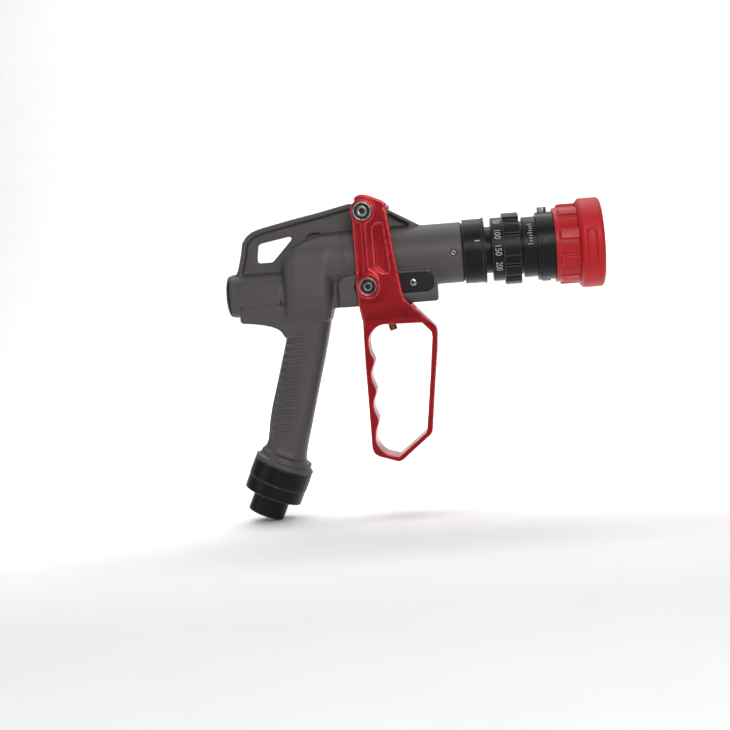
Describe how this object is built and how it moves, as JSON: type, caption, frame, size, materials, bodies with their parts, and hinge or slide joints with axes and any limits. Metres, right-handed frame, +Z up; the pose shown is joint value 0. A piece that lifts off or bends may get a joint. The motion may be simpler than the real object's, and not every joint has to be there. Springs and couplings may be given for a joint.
{
  "type": "fire hose nozzle",
  "caption": "Pistol-grip fire hose nozzle with bale lever, poppet shut-off, flow selector ring, twist spray-pattern sleeve with bumper, and swivel inlet.",
  "frame": {"origin": "centre of the inlet mouth, at the lower end of the swivel stub", "axes": "+X along the barrel towards the spray, +Z up, -Y the left side of the nozzle"},
  "size_m": [0.355, 0.0844, 0.3002],
  "materials": {
    "cast_grey": "hard anodised cast aluminium, matt",
    "black_anodised": "black anodised, satin",
    "red_anodised": "red anodised, satin, bright worn edges",
    "red_rubber": "moulded red rubber",
    "red_moulded": "moulded red nylon",
    "stainless": "bright stainless steel",
    "brass_fitting": "dull brass",
    "seal_rubber": "black nitrile",
    "black_plastic": "moulded black acetal"
  },
  "bodies": {
    "body": {"housing_grip": "cast_grey", "housing_chamber": "cast_grey", "housing_barrel": "cast_grey", "rear_cap": "black_anodised", "rear_cap_seal": "seal_rubber", "valve_seat": "brass_fitting", "valve_seat_seal": "seal_rubber", "return_spring": "stainless", "gland_bush": "brass_fitting", "gland_packing": "seal_rubber", "gland_nut": "brass_fitting", "slot_cover_left": "black_plastic", "slot_cover_right": "black_plastic", "slot_cover_screws": "stainless", "barrel_set_screw": "stainless", "pivot_bushes": "brass_fitting", "head_stem": "black_anodised", "head_seal": "seal_rubber", "detent_spring": "stainless", "detent_ball": "stainless", "outer_barrel": "black_anodised", "sleeve_seal": "seal_rubber", "baffle_spider": "black_anodised", "baffle_stem": "stainless", "deflector": "black_anodised", "deflector_nut": "stainless", "inlet_collar": "black_anodised", "collar_set_screw": "stainless", "swivel_balls": "stainless"},
    "lever": {"lever_casting": "red_anodised", "stop_screw": "brass_fitting", "pivot_axle": "stainless", "pivot_screws": "stainless", "drive_pin": "stainless", "drive_pin_screws": "stainless", "drive_roller": "brass_fitting"},
    "valve": {"poppet": "brass_fitting", "poppet_seal": "seal_rubber", "poppet_nut": "stainless", "push_rod": "stainless", "crosshead": "brass_fitting"},
    "flow_selector": {"flow_ring": "black_anodised", "metering_pin": "stainless", "metering_sleeve": "brass_fitting"},
    "pattern_drive": {"drive_collar": "black_anodised", "collar_screws": "stainless"},
    "pattern_sleeve_body": {"pattern_sleeve": "red_moulded", "bumper": "red_rubber", "fog_teeth": "black_plastic"},
    "inlet_swivel": {"swivel_collar": "black_anodised", "inlet_stub": "black_anodised", "swivel_seal": "seal_rubber", "inlet_gasket": "seal_rubber", "inlet_strainer": "stainless"}
  },
  "joints": [
    {"name": "lever_squeeze", "type": "hinge", "parent": "body", "child": "lever", "pos_m": [0.1157, 0, 0.2775], "axis": [0, 1, 0], "range_deg": [0, 7], "stiffness_Nm_per_rad": 4, "springref_deg": -14.32},
    {"name": "valve_lift", "type": "slide", "parent": "body", "child": "valve", "axis": [-1, 0, 0], "range_m": [0, 0.00847], "deforming": ["return_spring"]},
    {"name": "flow_select", "type": "hinge", "parent": "body", "child": "flow_selector", "pos_m": [0.216, 0, 0.2335], "axis": [1, 0, 0], "range_deg": [-30, 60]},
    {"name": "pattern_twist", "type": "hinge", "parent": "body", "child": "pattern_drive", "pos_m": [0.216, 0, 0.2335], "axis": [1, 0, 0], "range_deg": [0, 180]},
    {"name": "pattern_advance", "type": "slide", "parent": "pattern_drive", "child": "pattern_sleeve_body", "axis": [1, 0, 0], "range_m": [0, 0.009]},
    {"name": "inlet_spin", "type": "hinge", "parent": "body", "child": "inlet_swivel", "pos_m": [0, 0, 0], "axis": [0.4179, 0, 0.9085], "continuous": true}
  ],
  "couplings": [
    {"joint": "valve_lift", "follows": "lever_squeeze", "m_per_rad": 0.06933},
    {"joint": "pattern_advance", "follows": "pattern_twist", "m_per_rad": 0.002864}
  ]
}
